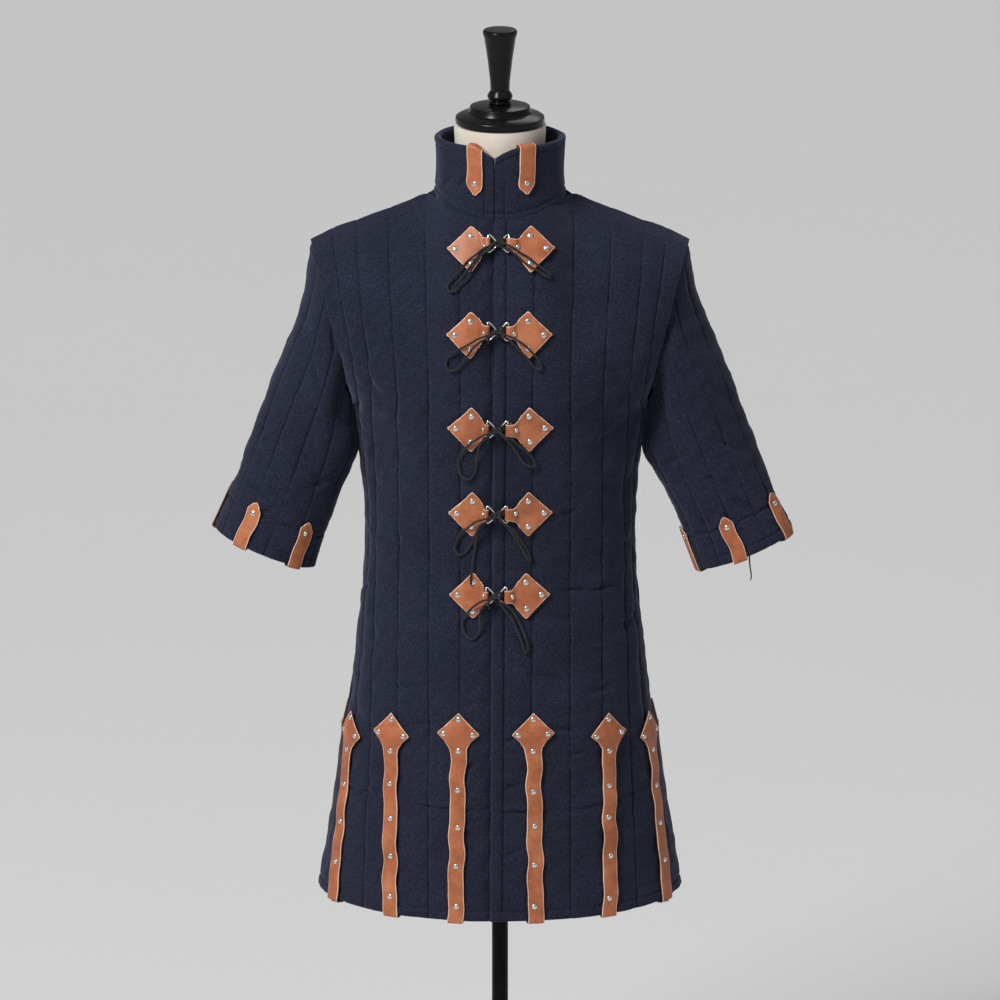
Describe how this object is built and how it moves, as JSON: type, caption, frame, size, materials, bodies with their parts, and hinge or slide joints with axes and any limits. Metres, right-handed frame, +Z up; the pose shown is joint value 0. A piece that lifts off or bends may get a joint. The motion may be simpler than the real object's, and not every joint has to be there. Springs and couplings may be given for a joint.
{
  "type": "gambeson on dress form",
  "caption": "Mid-thigh quilted arming coat with elbow sleeves, stand collar, leather closure patches, laces and hem straps, on a limbless dress form with a pole stand.",
  "frame": {"origin": "centre of the underside of the stand's round base, on the floor", "axes": "+Z up along the pole to the finial, -Y out of the coat's front opening, +X to the wearer's left"},
  "size_m": [0.7677, 0.4, 1.73],
  "materials": {
    "padded_wool": "matt navy wool face over cotton wadding, quilted in vertical channels",
    "tan_leather": "vegetable-tanned tan leather with paler cut edges",
    "ring_steel": "bright nickel-plated steel wire and rivets",
    "lace_black": "black braided cotton lace",
    "form_jersey": "cream knitted jersey cover",
    "black_lacquer": "turned wood under satin black lacquer",
    "black_metal": "satin black powder coat"
  },
  "bodies": {
    "root": {"back": "padded_wool", "collar": "padded_wool", "collar_tab_left": "tan_leather", "collar_tab_right": "tan_leather", "cuff_tab_left_1": "tan_leather", "cuff_tab_left_2": "tan_leather", "cuff_tab_left_3": "tan_leather", "cuff_tab_left_4": "tan_leather", "cuff_tab_left_5": "tan_leather", "cuff_tab_right_1": "tan_leather", "cuff_tab_right_2": "tan_leather", "cuff_tab_right_3": "tan_leather", "cuff_tab_right_4": "tan_leather", "cuff_tab_right_5": "tan_leather", "finial": "black_lacquer", "form_torso": "form_jersey", "front_left": "padded_wool", "front_right": "padded_wool", "hem_strap_back_left_1": "tan_leather", "hem_strap_back_left_2": "tan_leather", "hem_strap_back_left_3": "tan_leather", "hem_strap_back_right_1": "tan_leather", "hem_strap_back_right_2": "tan_leather", "hem_strap_back_right_3": "tan_leather", "hem_strap_front_left_1": "tan_leather", "hem_strap_front_left_2": "tan_leather", "hem_strap_front_left_3": "tan_leather", "hem_strap_front_right_1": "tan_leather", "hem_strap_front_right_2": "tan_leather", "hem_strap_front_right_3": "tan_leather", "lace_1": "lace_black", "lace_2": "lace_black", "lace_3": "lace_black", "lace_4": "lace_black", "lace_5": "lace_black", "lace_cuff": "lace_black", "neck_cap": "black_lacquer", "patch_left_1": "tan_leather", "patch_left_2": "tan_leather", "patch_left_3": "tan_leather", "patch_left_4": "tan_leather", "patch_left_5": "tan_leather", "patch_right_1": "tan_leather", "patch_right_2": "tan_leather", "patch_right_3": "tan_leather", "patch_right_4": "tan_leather", "patch_right_5": "tan_leather", "pole_and_base": "black_metal", "ring_left_1": "ring_steel", "ring_left_2": "ring_steel", "ring_left_3": "ring_steel", "ring_left_4": "ring_steel", "ring_left_5": "ring_steel", "ring_right_1": "ring_steel", "ring_right_2": "ring_steel", "ring_right_3": "ring_steel", "ring_right_4": "ring_steel", "ring_right_5": "ring_steel", "sleeve_left": "padded_wool", "sleeve_right": "padded_wool"}
  },
  "joints": []
}
